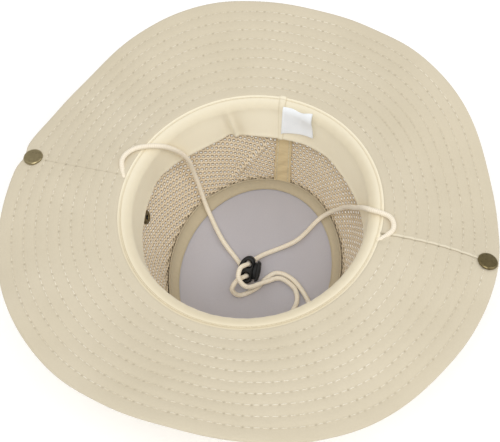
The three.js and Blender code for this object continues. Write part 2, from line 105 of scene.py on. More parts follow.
# The seam between brim and crown: an oval whose height falls to the back and rises to the right.
def rimPoint(angle):
    t = np.radians(angle)
    height = rim["height"] - rim["fallToBack"] * np.sin(t) + rim["riseToRight"] * np.cos(t)
    return vectors(rim["halfWidth"] * np.cos(t), rim["halfLength"] * np.sin(t), height)


# Level and square to the rim's oval.
def outwards(angle):
    t = np.radians(angle)
    return unit(vectors(np.cos(t) / rim["halfWidth"], np.sin(t) / rim["halfLength"], 0))


# The crown wall: a straight line from rim to floor that bows out by a sine; down runs from 0 to 1.
def wallPoint(angle, down, offset=0.0):
    t = np.radians(angle)
    foot = vectors(
        tip["shiftRight"] + tip["halfWidth"] * np.cos(t), tip["shiftBack"] + tip["halfLength"] * np.sin(t), 0
    )
    down = np.asarray(down, float)[..., None]
    bow = around("wallBow", angle)[..., None] * np.sin(np.pi * down) + np.asarray(offset, float)[..., None]
    return rimPoint(angle) * (1 - down) + foot * down + outwards(angle) * bow


# How far down the wall a height is, as a share.
def downAt(angle, height):
    return 1 - height / rimPoint(angle)[..., 2]


# A point of the wall and the direction out of it.
def wallFrame(angle, down, offset=0.0):
    def surface(angle, down):
        return wallPoint(angle, down, offset)

    return surface(angle, down), normalOf(surface, angle, down, 0.01)


def newObject(name, data):
    thing = bpy.data.objects.new(name, data)
    bpy.context.scene.collection.objects.link(thing)
    return thing


# A smooth piece that rides on a body and stands for the solids that it covers.
def newPiece(mesh, slotName, material, *covers, body="hat"):
    piece = newObject(mesh.name, mesh)
    mesh.materials.append(material)
    mesh.polygons.foreach_set("use_smooth", np.ones(len(mesh.polygons), bool))
    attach(piece, body)
    if covers:
        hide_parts(*covers)
    return piece


# A mesh of quads. The signed volume under its faces says which way they turn, and they are put outwards.
def quadMesh(name, points, quads, uv=None, masks=None):
    points = np.asarray(points, float).reshape(-1, 3)
    quads = np.asarray(quads, int).reshape(-1, 4)
    p = points[quads]
    volume = np.einsum("ij,ij->i", p[:, 0], np.cross(p[:, 1], p[:, 2]) + np.cross(p[:, 2], p[:, 3])).sum()
    if volume < 0:
        quads = quads[:, ::-1]
        uv = None if uv is None else uv[:, ::-1]
    mesh = bpy.data.meshes.new(name)
    mesh.vertices.add(len(points))
    mesh.vertices.foreach_set("co", (points / metre).ravel())
    mesh.loops.add(quads.size)
    mesh.loops.foreach_set("vertex_index", quads.ravel().astype(np.int32))
    mesh.polygons.add(len(quads))
    mesh.polygons.foreach_set("loop_start", np.arange(0, quads.size, 4, dtype=np.int32))
    if uv is not None:
        layer = mesh.uv_layers.new(name="UVMap")
        layer.data.foreach_set("uv", (np.asarray(uv, float) / metre).ravel())
    for mask, values in (masks or {}).items():
        attribute = mesh.attributes.new(mask, "FLOAT", "POINT")
        attribute.data.foreach_set("value", np.asarray(values, np.float32).ravel())
    mesh.update(calc_edges=True)
    mesh.validate()
    return mesh


# Joins corners that share one place, such as the middle of a disc.
def closePoles(mesh):
    work = bmesh.new()
    work.from_mesh(mesh)
    bmesh.ops.remove_doubles(work, verts=work.verts, dist=1e-7)
    work.to_mesh(mesh)
    work.free()
    return mesh


# Corners of the quads of a grid of columns and rows, closed either way if asked.
def gridQuads(columns, rows, closedAcross=False, closedAlong=False):
    i, j = np.meshgrid(
        np.arange(columns - (not closedAcross)), np.arange(rows - (not closedAlong)), indexing="ij"
    )
    i, j = i.ravel(), j.ravel()
    corners = [(i, j), (i + 1, j), (i + 1, j + 1), (i, j + 1)]
    index = np.stack([(a % columns) * rows + b % rows for a, b in corners], axis=1)
    return index, np.stack([np.stack(c, axis=-1) for c in corners], axis=1)


# Unit normals of a grid of points, from the differences along its columns and rows.
def gridNormals(points, closed):
    if closed:
        along = np.roll(points, -1, axis=0) - np.roll(points, 1, axis=0)
    else:
        along = np.gradient(points, axis=0)
    return unit(np.cross(np.gradient(points, axis=1), along))


# A cloth piece: a top and a bottom grid joined by rounded edges. Its section is one closed line. A disc has
# its middle as its first row and no near edge. A mask is for the top alone, or a pair for top and bottom.
def clothPiece(name, slotName, material, node, top, bottom, closed, masks=None, disc=False):
    thick = np.linalg.norm(top - bottom, axis=-1, keepdims=True)

    def edge(k, inner):
        out = unit(top[:, k] - top[:, inner]) * thick[:, k] * 0.38
        return [top[:, k] * 0.8 + bottom[:, k] * 0.2 + out, top[:, k] * 0.2 + bottom[:, k] * 0.8 + out]

    rounded = [top, np.stack(edge(-1, -2), 1), bottom[:, ::-1]]
    if not disc:
        rounded.append(np.stack(edge(0, 1)[::-1], 1))
    line = np.concatenate(rounded, axis=1)
    columns, rows = line.shape[:2]
    quads, corners = gridQuads(columns, rows, closed, not disc)
    count = top.shape[1]
    lengthRound = np.linalg.norm(np.diff(top, axis=0), axis=-1).mean(1).sum() * np.linspace(0, 1, columns + 1)
    lengthAcross = np.concatenate([[0], np.cumsum(np.linalg.norm(np.diff(top, axis=1), axis=-1).mean(0))])
    overEdge = lengthAcross[-1] + np.array([0.4, 0.8])
    acrossTable = np.concatenate([lengthAcross, overEdge, lengthAcross[::-1] + 0.4, [-0.4, -0.8], [0]])
    uv = np.stack([lengthRound[corners[..., 0]], acrossTable[corners[..., 1]]], axis=-1)
    lineMasks = {}
    for mask, values in (masks or {}).items():
        upper, lower = values if isinstance(values, tuple) else (values, 0 * values)
        low = np.zeros((columns, 2))
        lineMasks[mask] = np.concatenate([upper, low, lower[:, ::-1], low], axis=1)[:, :rows]
    if not closed:  # both ends are closed by a strip between top and bottom
        k = np.arange(count - 1)
        ends = np.stack([k, k + 1, rows - 4 - k, rows - 3 - k], axis=1)
        tabs = [[count - 1, count, count + 1, count + 2], [rows - 2, rows - 1, 0, rows - 3]]
        ends = np.concatenate([ends, tabs])
        quads = np.concatenate([quads, ends[:, ::-1], ends + (columns - 1) * rows])
        uv = np.concatenate([uv, np.zeros((2 * len(ends), 4, 2))])
    mesh = quadMesh(name, line.reshape(-1, 3), quads, uv, lineMasks)
    newPiece(closePoles(mesh) if disc else mesh, slotName, material, node)


# A lathe piece on a surface: radii and heights up its side, turned about the surface's normal.
def turnedMesh(name, profile, point, normal, sides=40):
    profile = np.asarray(profile, float)
    turn = np.linspace(0, 2 * np.pi, sides, endpoint=False)
    across = unit(np.cross(normal, [0, 1, 0.3]))
    ring = ringOf(turn, across, np.cross(normal, across))
    points = point + ring[:, None] * profile[:, :1] + normal * profile[:, 1:]
    closed = bool(np.allclose(profile[0], profile[-1]))
    if closed:
        points = points[:, :-1]
    quads, _ = gridQuads(sides, points.shape[1], True, closed)
    mesh = quadMesh(name, points, quads)
    return mesh if closed else closePoles(mesh)


# Rounds the corners of a chain of radii and heights: each span is cut at a share from its ends.
def softened(profile, cut=0.22):
    p = np.asarray(profile, float)
    near, far = p[:-1] * (1 - cut) + p[1:] * cut, p[:-1] * cut + p[1:] * (1 - cut)
    return np.concatenate([p[:1], np.stack([near, far], axis=1).reshape(-1, 2), p[-1:]])


# Short threads: each is a thin four-sided tube along its own centre line, closed at both ends.
def threadMesh(name, centres, normals, radius):
    count, rings = centres.shape[:2]
    along = unit(np.gradient(centres, axis=1))
    side = unit(np.cross(along, normals))
    turn = np.arange(4) * np.pi / 2 + np.pi / 4
    points = centres[:, :, None] + ringOf(turn, side[:, :, None], np.cross(side, along)[:, :, None]) * radius
    tube, _ = gridQuads(rings, 4, False, True)
    end = np.arange(4)
    tube = np.concatenate([tube, [end, 4 * rings - 1 - end]])
    quads = (np.arange(count)[:, None, None] * rings * 4 + tube[None]).reshape(-1, 4)
    return quadMesh(name, points.reshape(-1, 3), quads)


# Stitches along the seams of a surface, which gives a point and a normal for two measures. A seam fixes the
# second measure and says where the first one starts and ends. Each thread rises in a low arch from one needle
# hole, over its share of the stitch, and goes down again.
def sew(name, slotName, material, surface, seams, stitch, lift, thread, share=0.94, offset=0, face=1):
    t = np.linspace(-1, 1, 6)
    rise = (1 - t**2) ** 0.6
    arch = lift * rise - 0.25 * (1 - rise)
    centres, normals = [], []
    for fixed, start, end in seams:
        fine = np.linspace(start, end, 2400)
        point, normal = surface(fine, np.full_like(fine, fixed))
        far = distancesAlong(point + normal * offset)
        count = int(far[-1] // stitch)
        where = (np.arange(count)[:, None] + 0.5 + 0.5 * share * t) * (far[-1] / count)
        where = np.interp(where, far, fine)
        point, normal = surface(where, np.full_like(where, fixed))
        centres.append(point + normal * (offset + face * arch)[None, :, None])
        normals.append(normal * face)
    mesh = threadMesh(name, np.concatenate(centres), np.concatenate(normals), thread)
    newPiece(mesh, slotName, material)


def srgb(color):
    c = np.array(color, float) / 255
    return [*np.where(c < 0.04045, c / 12.92, ((c + 0.055) / 1.055) ** 2.4), 1.0]


# Puts a number, a colour in sRGB or another node's output into a socket.
def feed(tree, socket, value):
    if isinstance(value, bpy.types.NodeSocket):
        tree.links.new(value, socket)
    else:
        socket.default_value = srgb(value) if isinstance(value, tuple) else value


# A node group of number inputs with their defaults, and one number as its output.
def newGroup(name, numbers, output, vector=False):
    group = bpy.data.node_groups.new(name, "ShaderNodeTree")
    sockets = group.interface
    if vector:
        sockets.new_socket(name="Vector", in_out="INPUT", socket_type="NodeSocketVector")
    for label, value in numbers.items():
        socket = sockets.new_socket(name=label, in_out="INPUT", socket_type="NodeSocketFloat")
        socket.default_value = value
    sockets.new_socket(name=output, in_out="OUTPUT", socket_type="NodeSocketFloat")
    given = group.nodes.new("NodeGroupInput").outputs
    return group, given, group.nodes.new("NodeGroupOutput").inputs[output]


def mathNode(tree, operation, *values):
    node = tree.nodes.new("ShaderNodeMath")
    node.operation = operation
    for socket, value in zip(node.inputs, values):
        feed(tree, socket, value)
    return node.outputs[0]


def placeOf(tree, kind="Object"):
    return tree.nodes.new("ShaderNodeTexCoord").outputs[kind]


def noiseOf(tree, scale, detail=2, place=None):
    node = tree.nodes.new("ShaderNodeTexNoise")
    feed(tree, node.inputs["Vector"], place or placeOf(tree))
    feed(tree, node.inputs["Scale"], scale)
    feed(tree, node.inputs["Detail"], detail)
    return node.outputs["Fac"]


# Plain weave: the product of two sines, one along each thread, a little uneven with noise.
def makeWeave():
    group, given, out = newGroup("plainWeave", {"Threads": 1500}, "Height", vector=True)
    split = group.nodes.new("ShaderNodeSeparateXYZ")
    feed(group, split.inputs[0], given["Vector"])
    uneven = noiseOf(group, 260, 3, given["Vector"])
    waves = []
    for axis in ("X", "Y"):
        turns = mathNode(group, "MULTIPLY", split.outputs[axis], given["Threads"])
        wander = mathNode(group, "MULTIPLY_ADD", uneven, 0.4, turns)
        waves.append(mathNode(group, "SINE", mathNode(group, "MULTIPLY", wander, 2 * np.pi)))
    product = mathNode(group, "MULTIPLY", *waves)
    feed(group, out, mathNode(group, "MULTIPLY_ADD", product, 0.5, 0.5))
    return group


# Uneven tone: large soft patches and small specks of noise, as a shift round one half.
def makeMottle():
    group, given, out = newGroup("clothMottle", {"Patch": 18, "Speck": 900, "Amount": 0.5}, "Tone")
    patch, speck = (mathNode(group, "SUBTRACT", noiseOf(group, given[k], 4), 0.5) for k in ("Patch", "Speck"))
    both = mathNode(group, "MULTIPLY_ADD", speck, 0.6, patch)
    feed(group, out, mathNode(group, "MULTIPLY_ADD", both, given["Amount"], 0.5))
    return group


weaveGroup = makeWeave()
mottleGroup = makeMottle()


def groupValue(tree, group, **values):
    node = tree.nodes.new("ShaderNodeGroup")
    node.node_tree = group
    for label, value in values.items():
        feed(tree, node.inputs[label], value)
    return node.outputs[0]


def newMaterial(name, roughness, specular=0.5, sheen=0):
    material = bpy.data.materials.new(name)
    material.use_nodes = True
    inputs = material.node_tree.nodes["Principled BSDF"].inputs
    inputs["Roughness"].default_value = roughness
    inputs["Specular IOR Level"].default_value = specular
    inputs["Sheen Weight"].default_value = sheen
    return material, material.node_tree, inputs


def mixColor(tree, share, a, b):
    node = tree.nodes.new("ShaderNodeMix")
    node.data_type = "RGBA"
    for socket, value in ((node.inputs[0], share), (node.inputs[6], a), (node.inputs[7], b)):
        feed(tree, socket, value)
    return node.outputs[2]


def attributeOf(tree, name):
    node = tree.nodes.new("ShaderNodeAttribute")
    node.attribute_name = name
    return node.outputs["Fac"]


def addBump(tree, inputs, height, strength, depth):
    node = tree.nodes.new("ShaderNodeBump")
    for label, value in (("Height", height), ("Strength", strength), ("Distance", depth / metre)):
        feed(tree, node.inputs[label], value)
    feed(tree, inputs["Normal"], node.outputs[0])


# Woven cloth: tone between a dark and a light colour, and a weave in bump whose low places also darken the
# tone as painted shade. Where the piece has a "shade" mask it gets painted shade in the "holes" tint (needle
# holes, seams, laps, folds), and where it has a "pale" one a painted highlight in the "ridge" tint. Threads
# are counted in a metre.
def clothMaterial(
    name, dark, light, threads, bump, holes=None, ridge=None, useUv=True, roughness=0.9, mottle=0.7
):
    material, tree, inputs = newMaterial(name, roughness, 0.2, 0.15)
    weave = groupValue(tree, weaveGroup, Vector=placeOf(tree, "UV" if useUv else "Object"), Threads=threads)
    # painted shade: the weave's low places darken the tone
    weaveShade = mathNode(tree, "MULTIPLY_ADD", weave, 0.16, -0.08)
    tone = mathNode(tree, "ADD", groupValue(tree, mottleGroup, Amount=mottle), weaveShade)
    color = mixColor(tree, tone, dark, light)
    # painted highlight from the pale mask, painted shade from the shade mask
    for mask, tint in (("pale", ridge), ("shade", holes)):
        if tint:
            color = mixColor(tree, attributeOf(tree, mask), color, tint)
    feed(tree, inputs["Base Color"], color)
    addBump(tree, inputs, weave, bump, 0.15)
    return material


# The third colour of a cloth is the tint of its painted shade; the brim's fourth is that of its painted
# highlight.
brimCanvas = clothMaterial(
    "brimCanvas", (204, 193, 168), (223, 213, 191), 1700, 0.35, (158, 145, 119), (240, 231, 208), useUv=False
)
bandCanvas = clothMaterial("bandCanvas", (207, 196, 172), (226, 216, 194), 1700, 0.35, (152, 138, 112))
sweatCotton = clothMaterial(
    "sweatCotton", (247, 237, 211), (254, 247, 226), 2600, 0.2, (190, 173, 136), mottle=0.5
)
tapeCloth = clothMaterial("tapeCloth", (184, 171, 144), (206, 193, 166), 1900, 0.4, (140, 124, 92))
stripCloth = clothMaterial("stripCloth", (212, 192, 150), (234, 214, 172), 1900, 0.4, (150, 130, 90))
liningCloth = clothMaterial(
    "liningCloth", (182, 178, 183), (197, 194, 199), 3000, 0.15, roughness=0.75, mottle=0.8
)
labelCloth = clothMaterial(
    "labelCloth", (242, 247, 253), (251, 253, 255), 3200, 0.1, roughness=0.6, mottle=0.3
)
sewingThread = clothMaterial(
    "sewingThread", (213, 203, 179), (252, 247, 233), 3000, 0.2, useUv=False, mottle=1.8
)
paleThread = clothMaterial("paleThread", (238, 226, 196), (250, 242, 220), 3000, 0.2, useUv=False, mottle=0.4)
print("cloth materials made")


# Knitted net: light knots and strands with painted shade where they turn down to the holes' edges, told apart
# by the piece's "relief" mask.
def makeNetMaterial():
    material, tree, inputs = newMaterial("knitNet", 0.85, 0.25, 0.1)
    tone = groupValue(tree, mottleGroup, Amount=1, Patch=22, Speck=700)
    strand = mixColor(tree, tone, (230, 211, 180), (249, 234, 207))
    ramp = tree.nodes.new("ShaderNodeValToRGB")
    ramp.color_ramp.elements[0].position = 0.15
    ramp.color_ramp.elements[1].position = 0.75
    feed(tree, ramp.inputs[0], attributeOf(tree, "relief"))
    feed(tree, inputs["Base Color"], mixColor(tree, ramp.outputs[0], (192, 171, 140), strand))
    addBump(tree, inputs, noiseOf(tree, 2500), 0.3, 0.1)
    return material


# Darkened brass: olive brown metal, lighter where a noise says that it is rubbed.
def makeBrass(name, dark, light):
    material, tree, inputs = newMaterial(name, 0.38)
    rubbed = noiseOf(tree, 420, 5)
    feed(tree, inputs["Base Color"], mixColor(tree, rubbed, dark, light))
    feed(tree, inputs["Metallic"], 0.9)
    feed(tree, inputs["Roughness"], mathNode(tree, "MULTIPLY_ADD", rubbed, 0.25, 0.18))
    return material


# Moulded plastic: nearly black, with fine texture in its bump and gloss.
def makePlastic():
    material, tree, inputs = newMaterial("lockPlastic", 0.5, 0.3)
    grain = noiseOf(tree, 1800, 3)
    feed(tree, inputs["Base Color"], mixColor(tree, grain, (9, 8, 8), (15, 13, 12)))
    feed(tree, inputs["Roughness"], mathNode(tree, "MULTIPLY_ADD", grain, 0.2, 0.4))
    addBump(tree, inputs, grain, 0.15, 0.05)
    return material


# Braided cotton: the braid itself is in the mesh, so the material adds fibre along it and painted shade in
# the braid's grooves.
def makeCordCotton():
    material, tree, inputs = newMaterial("cordCotton", 0.85, 0.2, 0.25)
    tone = groupValue(tree, mottleGroup, Amount=0.7, Patch=60, Speck=1400)
    color = mixColor(tree, tone, (249, 238, 217), (255, 250, 237))
    feed(tree, inputs["Base Color"], mixColor(tree, attributeOf(tree, "groove"), color, (224, 208, 180)))
    addBump(tree, inputs, noiseOf(tree, 3200), 0.4, 0.1)
    return material


knitNet = makeNetMaterial()
agedBrass = makeBrass("agedBrass", (102, 90, 61), (134, 121, 87))
paintedReflectionBrass = makeBrass("paintedReflectionBrass", (132, 120, 89), (170, 157, 121))  # a lighter copy for the left cap: painted reflection
lockPlastic = makePlastic()
cordCotton = makeCordCotton()

# The camera that was fitted to the photograph: angles in degrees, the rest in millimetres.
view = {"azimuth": 16.3, "elevation": 62.3, "distance": 749, "target": (-1.6, 4.1, 60)}
lens = {"length": 76.65, "sensor": 36}


# Puts a camera or a light at a place, turned to look against the direction that is given.
def aim(thing, place, back):
    right = unit(np.cross([0, 0, 1], back))
    matrix = Matrix.Identity(4)
    for column, axis in enumerate((right, np.cross(back, right), back, place)):
        for row in range(3):
            matrix[row][column] = axis[row]
    thing.matrix_world = matrix


def placeCamera():
    a, e = np.radians([view["azimuth"], view["elevation"]])
    back = np.array([np.sin(a) * np.cos(e), -np.cos(a) * np.cos(e), np.sin(e)])
    camera = newObject("camera", bpy.data.cameras.new("camera"))
    aim(camera, (np.array(view["target"]) + back * view["distance"]) / metre, back)
    camera.data.lens = lens["length"]
    camera.data.sensor_width = lens["sensor"]
    camera.data.clip_start = 0.01
    bpy.context.scene.camera = camera


placeCamera()

# The chin cord: millimetres, unless said.
cord = {
    "lockPlace": (1.3, -12, 14.2),
    "drawnIn": 0.2,  # share by which the lock draws it in
    "drawnWidth": 9,  # width of the bell curve round the lock
    "dipWidth": 2.3,  # and of those where it comes through the cloth
    "diameter": 3.6,
    "length": 0.6759,  # metres
    "sides": 24,
    "ring": 0.55,  # distance between rings
    "strands": 6,
    "braidPitch": 7.5,
    "relief": 0.13,
    # the route's points, in metres, as in the part's source
    "route": [
        (-0.0905, -0.002, 0.0855), (-0.096, 0.0115, 0.0885), (-0.091, 0.0215, 0.0885),
        (-0.0755, 0.0295, 0.087), (-0.062, 0.0395, 0.0655), (-0.055, 0.042, 0.033),
        (-0.043, 0.031, 0.007), (-0.0245, 0.0095, 0.006), (-0.0095, -0.0025, 0.0047),
        (0.0014, -0.0136, 0.008), (0.0017, -0.0182, 0.0159), (-0.003, -0.0244, 0.0186),
        (-0.0053, -0.0299, 0.0129), (0, -0.0298, 0.0057), (0.0107, -0.0202, 0.0048),
        (0.0153, -0.0107, 0.0047), (0.0217, -0.0045, 0.0051), (0.0341, -0.0061, 0.0048),
        (0.0512, -0.0218, 0.0051), (0.058, -0.0385, 0.0075), (0.0488, -0.0475, 0.0052),
        (0.0402, -0.042, 0.0047), (0.0418, -0.0216, 0.0048), (0.0375, -0.013, 0.0049),
        (0.0254, -0.0088, 0.0067), (0.0158, -0.0159, 0.0094), (0.0046, -0.0274, 0.0185),
        (-0.0019, -0.0245, 0.024), (-0.0026, -0.0174, 0.0253), (0.0012, -0.0104, 0.0204),
        (0.0009, -0.0058, 0.0125), (0.007, 0.006, 0.0055), (0.029, 0.0255, 0.006),
        (0.0415, 0.0485, 0.007), (0.057, 0.046, 0.0355), (0.0675, 0.0295, 0.0705),
        (0.0775, 0.016, 0.0975), (0.093, 0.013, 0.099), (0.0965, 0.0055, 0.0985),
        (0.0885, -0.0045, 0.0955),
    ],
}


# Centripetal Catmull-Rom curve: in each span a cubic whose end slopes come from the four points round it,
# with the square roots of their distances as knots.
def smoothRoute(points, perSpan=24):
    p = np.vstack([2 * points[0] - points[1], points, 2 * points[-1] - points[-2]])
    knot = np.sqrt(np.linalg.norm(np.diff(p, axis=0), axis=1))
    p0, p1, p2, p3 = p[:-3], p[1:-2], p[2:-1], p[3:]
    d0, d1, d2 = knot[:-2, None], knot[1:-1, None], knot[2:, None]
    startSlope = ((p1 - p0) / d0 - (p2 - p0) / (d0 + d1) + (p2 - p1) / d1) * d1
    endSlope = ((p2 - p1) / d1 - (p3 - p1) / (d1 + d2) + (p3 - p2) / d2) * d1
    t = np.linspace(0, 1, perSpan, endpoint=False)[None, :, None]
    a, b = p1[:, None], startSlope[:, None]
    c = (-3 * p1 + 3 * p2 - 2 * startSlope - endSlope)[:, None]
    d = (2 * p1 - 2 * p2 + startSlope + endSlope)[:, None]
    return np.vstack([(a + b * t + c * t**2 + d * t**3).reshape(-1, 3), points[-1:]])


# Places along a line at even distances, and those distances.
def evenSteps(line, step):
    far = distancesAlong(line)
    s = np.linspace(0, far[-1], int(round(far[-1] / step)) + 1)
    return np.stack([np.interp(s, far, line[:, k]) for k in range(3)], axis=1), s


# Two directions square to a line at each point, carried along it without twist.
def carriedFrames(line):
    along = unit(np.gradient(line, axis=0))
    side = np.empty_like(line)
    side[0] = unit(np.cross(along[0], [0.2, 0.3, 1]))
    for k in range(1, len(line)):  # one step for each ring
        side[k] = side[k - 1] - along[k] * np.dot(side[k - 1], along[k])
        side[k] /= np.linalg.norm(side[k])
    return side, np.cross(along, side)


# The cord's rings: less round near the lock, by a bell curve of the distance from it, and in the grooves of
# the braid, two families of strands that wind either way. Their product of sines is high on the crossings.
def makeCord():
    line, s = evenSteps(smoothRoute(np.array(cord["route"]) * metre), cord["ring"])
    side, lift = carriedFrames(line)
    turn = np.linspace(0, 2 * np.pi, cord["sides"], endpoint=False)
    wind = cord["strands"] * np.pi * s[:, None] / cord["braidPitch"]
    braid = np.sin(cord["strands"] * turn + wind) * np.sin(cord["strands"] * turn - wind)
    away = np.linalg.norm(line - cord["lockPlace"], axis=1)[:, None]
    radius = cord["diameter"] / 2 * (1 - cord["drawnIn"] * bell(away, cord["drawnWidth"]))
    radius = radius - cord["relief"] * (0.5 - 0.5 * braid)
    points = line[:, None] + ringOf(turn, side[:, None], lift[:, None]) * radius[..., None]
    cap = np.repeat(line[[0, -1]][:, None], cord["sides"], axis=1)
    points = np.concatenate([cap[:1], points, cap[1:]])
    quads, _ = gridQuads(points.shape[0], points.shape[1], False, True)
    # groove: for the painted shade in the braid's grooves; the closed ends count as deep
    groove = np.pad(0.5 - 0.5 * braid, ((1, 1), (0, 0)), constant_values=1)
    mesh = closePoles(quadMesh("chinCord", points, quads, None, {"groove": groove**2}))
    return newPiece(mesh, "chin_cord", cordCotton, "chin_cord"), line / metre


chinCord, cordLine = makeCord()

# The lock's edges: millimetres, and an angle in degrees.
lockEdge = {"merge": 0.02, "round": 0.25, "overAngle": 32}


# The lock's two pieces keep the solids' shape: a merged copy with its edges rounded.
def makeLockPiece(node, name, body):
    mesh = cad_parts[node].data.copy()
    mesh.name = name
    mesh.materials.clear()
    piece = newPiece(mesh, "lock_plastic", lockPlastic, node, body=body)
    weld = piece.modifiers.new("weld", "WELD")
    weld.merge_threshold = lockEdge["merge"] / metre
    bevel = piece.modifiers.new("bevel", "BEVEL")
    bevel.width = lockEdge["round"] / metre
    bevel.segments = 2
    bevel.limit_method = "ANGLE"
    bevel.angle_limit = np.radians(lockEdge["overAngle"])
    return piece


lockBarrel = makeLockPiece("cord_lock_barrel", "lockBarrel", "hat")
lockButton = makeLockPiece("cord_lock_button", "lockButton", "cord_lock_button")
print("chin cord laid:", len(cordLine), "rings")

# The brim: millimetres, unless said.
brim = {
    "width": 80,
    "thickness": 2,
    "easeIn": 6,
    "rows": 9,
    "firstRow": 6.5,
    "rowPitch": 8.1,
    "stitch": 5.5,
    "puff": 0.4,  # how far the cloth stands up between two rows
    "channel": 2.2,
    "hole": 0.4,
    "holeRadius": 0.66,
    "thread": 0.28,
    "columns": 520,  # round each half
    "seamLap": 0.12,  # degrees by which the back half laps over the front one
    "cordHoles": ((-90.6, -0.5), (91.0, -4.2)),  # where the cord comes out of the seams
    "cordDip": 1.5,
}
rowReaches = brim["firstRow"] + brim["rowPitch"] * np.arange(brim["rows"])


# The brim's upper face: level at the rim, then at the table's slope, measured along the cloth.
def brimPoint(angle, width):
    slope = np.radians(around("brimSlope", angle))
    reach = width * (1 - around("brimTrim", angle) / brim["width"])
    level = np.minimum(reach, brim["easeIn"])
    eased = level * (1 - level / (2 * brim["easeIn"]))
    along = eased + (reach - eased) * np.cos(slope)
    rise = (reach - eased) * np.sin(slope)
    return rimPoint(angle) + outwards(angle) * along[..., None] + vectors(0, 0, 1) * rise[..., None]


# Small soft waves of the cloth: a few sines of the angle and reach that die out at the rim.
def brimWave(angle, reach):
    t = np.radians(angle)
    share = np.clip(reach / brim["width"], 0, 1)
    wave = np.sin(7 * t + 0.06 * reach) + 0.7 * np.sin(13 * t - 0.09 * reach + 1.3)
    wave = wave + 0.5 * np.sin(23 * t + 0.16 * reach)
    return 0.34 * share**1.2 * wave


# How far the cloth round the right seam lies turned to the back, in degrees: a slope and one arch of a sine
# of the share of the width, which fades away from the seam as a bell curve.
def seamDrift(angle, reach):
    share = np.clip(reach / brim["width"], 0, 1)
    fromSeam = np.mod(angle + 180, 360) - 180
    return (1.1 * share + 1.45 * np.sin(np.pi * share**0.85)) * bell(fromSeam, 12)


# The left snap pulls the edge in between two soft bulges: a wide bell curve less a narrow one, which grow
# with the fourth power of the share of the width.
def snapTuck(angle, reach):
    fromSeam = np.mod(angle, 360) - 180
    pull = 2.1 * bell(fromSeam, 9) - 2.7 * bell(fromSeam, 2.4)
    return pull * np.clip(reach / brim["width"], 0, 1) ** 4


# A point of the brim and the normal there, with the drift, the tuck and the waves put in.
def brimFrame(flatAngle, flatReach):
    angle = flatAngle + seamDrift(flatAngle, flatReach)
    reach = flatReach + snapTuck(flatAngle, flatReach)
    normal = normalOf(brimPoint, angle, reach, 0.5)
    return brimPoint(angle, reach) + normal * brimWave(angle, reach)[..., None], normal


# Relief of the stitched cloth: down to nothing on each row, with a pit at each needle hole.
def brimRelief(angle, reach, firstAngle):
    nearest = np.clip(np.rint((reach - brim["firstRow"]) / brim["rowPitch"]), 0, brim["rows"] - 1).astype(int)
    across = reach - rowReaches[nearest]
    height = brim["puff"] * (1 - bell(across, brim["channel"]))
    pits = np.zeros_like(height)
    for row in range(brim["rows"]):
        fine = np.linspace(firstAngle, firstAngle + 180, 1400)
        far = distancesAlong(brimFrame(fine, np.full_like(fine, rowReaches[row]))[0])
        step = far[-1] / int(far[-1] // brim["stitch"])
        here = nearest == row
        phase = np.interp(angle[here], fine, far) / step
        off = (phase - np.rint(phase)) * step
        strength = rng.uniform(0.15, 1.0, 200)
        deep = strength[np.rint(phase).astype(int) % 200]
        pits[here] = deep * np.exp(-(off**2 + across[here] ** 2) / brim["holeRadius"] ** 2)
    edge = np.clip((brim["width"] - reach) / 2.5, 0, 1)
    return height * (0.4 + 0.6 * edge) - brim["hole"] * pits, pits


# A bell curve round each place where the cord comes through, as a depth under the cloth's face.
def cordDips(point, holes, deep):
    away = [np.hypot(point[..., 0] - x, point[..., 1] - y) for x, y in holes]
    return -deep * sum(bell(distance, cord["dipWidth"]) for distance in away)


# Half of the brim. At both side seams the back half laps over the front one, so it has a raised lip, with a
# painted highlight at the right seam, and the front one a painted shadow line beside it. Both are bell curves
# of the distance from the seam.
def makeBrimHalf(name, node, firstAngle, gap, lip):
    ends = gap + np.array([0, 0.12, 0.3, 0.55, 0.9, 1.3])
    inner = np.linspace(1.9, 178.1, brim["columns"])
    angles = firstAngle + np.concatenate([ends, inner, 180 - ends[::-1]])
    offsets = np.array([-2.3, -1.15, -0.5, 0, 0.5, 1.15, 2.3, 4.05])
    byEdge = brim["width"] - np.array([3, 1.4, 0.5, 0])
    reaches = np.concatenate([[0, 1.2, 2.4], (rowReaches[:, None] + offsets).ravel(), byEdge])
    reaches = np.unique(np.clip(reaches, 0, brim["width"]))
    angle, reach = np.meshgrid(angles, reaches, indexing="ij")
    point, normal = brimFrame(angle, reach)
    relief, pits = brimRelief(angle, reach, firstAngle)
    past = angle - firstAngle
    fromSeam = np.radians(np.maximum(np.minimum(past, 180 - past), 0)) * (rim["halfWidth"] + reach)
    onRight = np.cos(np.radians(angle)) > 0
    ridge = bell(fromSeam - 0.75, 0.75) if lip > 0 else bell(fromSeam, 1.1)
    seam = lip * ridge * np.where(onRight, 1, 0.3)
    seam = seam + cordDips(point, brim["cordHoles"], brim["cordDip"])
    top = point + normal * (relief + seam)[..., None]
    bottom = point - normal * (brim["thickness"] + 0.6 * relief - 0.2)[..., None]
    # how dark the painted shadow line beside the lip is: strong in the front half at the right seam, faint
    # elsewhere
    line = 0.06 if lip > 0 else np.where(onRight, 0.5, 0.06)
    # painted shade: dark needle holes, and the shadow line along the seam
    shade = 0.7 * pits + line * bell(fromSeam, 0.5)
    # painted shade in the slit at the right seam near the rim, where the cord comes out
    slit = bell(fromSeam, 0.6) * np.clip((6 - reach) / 2, 0, 1)
    shade = np.maximum(shade, slit * onRight)
    # painted highlight on the back half's raised lip at the right seam
    pale = ridge * onRight * (lip > 0) * np.clip((reach - 5) / 3, 0, 1)
    masks = {"shade": (shade, 0.7 * pits), "pale": 0.8 * pale}
    clothPiece(name, "brim_cloth", brimCanvas, node, top, bottom, False, masks)


makeBrimHalf("brimClothBack", "brim_back", 0, -brim["seamLap"], 0.55)
makeBrimHalf("brimClothFront", "brim_front", 180, 0, -0.15)

